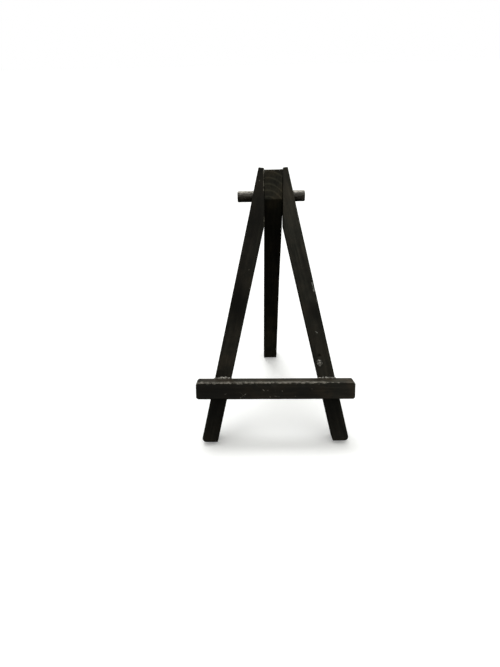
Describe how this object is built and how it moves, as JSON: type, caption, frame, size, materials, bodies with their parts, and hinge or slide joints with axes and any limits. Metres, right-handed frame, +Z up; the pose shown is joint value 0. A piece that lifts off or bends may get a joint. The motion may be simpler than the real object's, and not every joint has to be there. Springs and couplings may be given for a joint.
{
  "type": "tabletop sign easel",
  "caption": "Small black wooden tripod easel: splayed front legs with a ledge for a sign or card, and a rear leg that folds on a cross dowel.",
  "frame": {"origin": "centre of the standing easel's bounding box on the surface it stands on", "axes": "+Z up, -Y the way the front faces (the ledge side), +X to the right of someone who faces the front"},
  "size_m": [0.0754, 0.0926, 0.1272],
  "materials": {
    "front_leg_paint": "thin satin black paint over softwood, grain showing, light scuffs on the edges",
    "rear_leg_paint": "thin satin black paint over softwood, growth rings showing on the mitred end",
    "ledge_paint": "satin black-brown paint over softwood, worn to bright flecks along the front top edge",
    "dowel_paint": "semi-gloss black paint on a hardwood dowel, streaky along its length",
    "brad_steel": "bright drawn wire, slightly dulled",
    "dried_glue": "clear dried glue squeezed out over black paint, glossy"
  },
  "bodies": {
    "front_frame": {"front_leg_left": "front_leg_paint", "front_leg_right": "front_leg_paint", "ledge": "ledge_paint", "pivot_dowel": "dowel_paint", "ledge_brad_left": "brad_steel", "ledge_brad_right": "brad_steel"},
    "rear_leg": {"rear_leg": "rear_leg_paint"}
  },
  "joints": [
    {"name": "rear_leg_fold", "type": "hinge", "parent": "front_frame", "child": "rear_leg", "pos_m": [0, -0.0066, 0.11436], "axis": [1, 0, 0], "range_deg": [-40.8, 49.2]}
  ]
}
